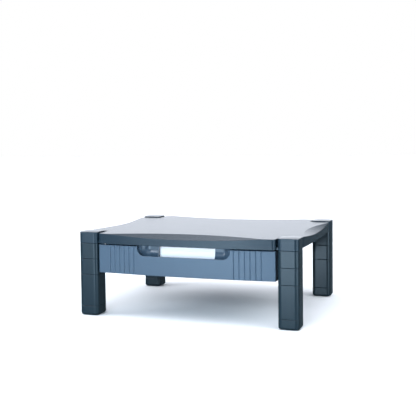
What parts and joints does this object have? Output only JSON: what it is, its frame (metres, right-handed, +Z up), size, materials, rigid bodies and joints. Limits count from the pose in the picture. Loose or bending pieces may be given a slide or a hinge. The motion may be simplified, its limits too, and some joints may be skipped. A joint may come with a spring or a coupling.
{
  "type": "monitor riser stand",
  "caption": "Low desktop riser: a flat deck with bowed, scooped edges on stackable square columns, with a sliding storage drawer under it that has a finger recess and a blank label card.",
  "frame": {"origin": "on the floor under the middle of the stand", "axes": "+X to the right seen from the drawer side, +Y to the rear, +Z up"},
  "size_m": [0.434, 0.353, 0.1627],
  "materials": {
    "deck_plastic": "fine moulded grain, satin",
    "cap_plastic": "fine moulded grain, satin",
    "column_plastic": "fine moulded grain, satin",
    "drawer_plastic": "fine moulded grain, satin, polished recess",
    "tray_plastic": "matte moulded",
    "runner_plastic": "smooth moulded",
    "pad_rubber": "matte",
    "screw_steel": "zinc plated",
    "card_paper": "smooth white card, blank"
  },
  "bodies": {
    "deck": {"deck": "deck_plastic", "corner_cap_front_left": "cap_plastic", "corner_cap_front_right": "cap_plastic", "corner_cap_rear_left": "cap_plastic", "corner_cap_rear_right": "cap_plastic", "runner_left": "runner_plastic", "runner_right": "runner_plastic", "runner_screws": "screw_steel"},
    "drawer": {"drawer_front": "drawer_plastic", "drawer_tray": "tray_plastic", "drawer_front_screws": "screw_steel", "label_card": "card_paper"},
    "upper_riser_front_left": {"upper_riser_front_left": "column_plastic"},
    "lower_riser_front_left": {"lower_riser_front_left": "column_plastic"},
    "leg_front_left": {"leg_front_left": "column_plastic"},
    "foot_front_left": {"foot_front_left": "column_plastic", "foot_pad_front_left": "pad_rubber"},
    "upper_riser_front_right": {"upper_riser_front_right": "column_plastic"},
    "lower_riser_front_right": {"lower_riser_front_right": "column_plastic"},
    "leg_front_right": {"leg_front_right": "column_plastic"},
    "foot_front_right": {"foot_front_right": "column_plastic", "foot_pad_front_right": "pad_rubber"},
    "upper_riser_rear_left": {"upper_riser_rear_left": "column_plastic"},
    "lower_riser_rear_left": {"lower_riser_rear_left": "column_plastic"},
    "leg_rear_left": {"leg_rear_left": "column_plastic"},
    "foot_rear_left": {"foot_rear_left": "column_plastic", "foot_pad_rear_left": "pad_rubber"},
    "upper_riser_rear_right": {"upper_riser_rear_right": "column_plastic"},
    "lower_riser_rear_right": {"lower_riser_rear_right": "column_plastic"},
    "leg_rear_right": {"leg_rear_right": "column_plastic"},
    "foot_rear_right": {"foot_rear_right": "column_plastic", "foot_pad_rear_right": "pad_rubber"}
  },
  "joints": [
    {"name": "drawer_slide", "type": "slide", "parent": "deck", "child": "drawer", "axis": [0, -1, 0], "range_m": [0, 0.2]},
    {"name": "upper_riser_pull_front_left", "type": "slide", "parent": "deck", "child": "upper_riser_front_left", "axis": [0, 0, -1], "range_m": [0, 0.014]},
    {"name": "lower_riser_pull_front_left", "type": "slide", "parent": "upper_riser_front_left", "child": "lower_riser_front_left", "axis": [0, 0, -1], "range_m": [0, 0.014]},
    {"name": "leg_pull_front_left", "type": "slide", "parent": "lower_riser_front_left", "child": "leg_front_left", "axis": [0, 0, -1], "range_m": [0, 0.014]},
    {"name": "foot_pull_front_left", "type": "slide", "parent": "leg_front_left", "child": "foot_front_left", "axis": [0, 0, -1], "range_m": [0, 0.014]},
    {"name": "upper_riser_pull_front_right", "type": "slide", "parent": "deck", "child": "upper_riser_front_right", "axis": [0, 0, -1], "range_m": [0, 0.014]},
    {"name": "lower_riser_pull_front_right", "type": "slide", "parent": "upper_riser_front_right", "child": "lower_riser_front_right", "axis": [0, 0, -1], "range_m": [0, 0.014]},
    {"name": "leg_pull_front_right", "type": "slide", "parent": "lower_riser_front_right", "child": "leg_front_right", "axis": [0, 0, -1], "range_m": [0, 0.014]},
    {"name": "foot_pull_front_right", "type": "slide", "parent": "leg_front_right", "child": "foot_front_right", "axis": [0, 0, -1], "range_m": [0, 0.014]},
    {"name": "upper_riser_pull_rear_left", "type": "slide", "parent": "deck", "child": "upper_riser_rear_left", "axis": [0, 0, -1], "range_m": [0, 0.014]},
    {"name": "lower_riser_pull_rear_left", "type": "slide", "parent": "upper_riser_rear_left", "child": "lower_riser_rear_left", "axis": [0, 0, -1], "range_m": [0, 0.014]},
    {"name": "leg_pull_rear_left", "type": "slide", "parent": "lower_riser_rear_left", "child": "leg_rear_left", "axis": [0, 0, -1], "range_m": [0, 0.014]},
    {"name": "foot_pull_rear_left", "type": "slide", "parent": "leg_rear_left", "child": "foot_rear_left", "axis": [0, 0, -1], "range_m": [0, 0.014]},
    {"name": "upper_riser_pull_rear_right", "type": "slide", "parent": "deck", "child": "upper_riser_rear_right", "axis": [0, 0, -1], "range_m": [0, 0.014]},
    {"name": "lower_riser_pull_rear_right", "type": "slide", "parent": "upper_riser_rear_right", "child": "lower_riser_rear_right", "axis": [0, 0, -1], "range_m": [0, 0.014]},
    {"name": "leg_pull_rear_right", "type": "slide", "parent": "lower_riser_rear_right", "child": "leg_rear_right", "axis": [0, 0, -1], "range_m": [0, 0.014]},
    {"name": "foot_pull_rear_right", "type": "slide", "parent": "leg_rear_right", "child": "foot_rear_right", "axis": [0, 0, -1], "range_m": [0, 0.014]}
  ]
}
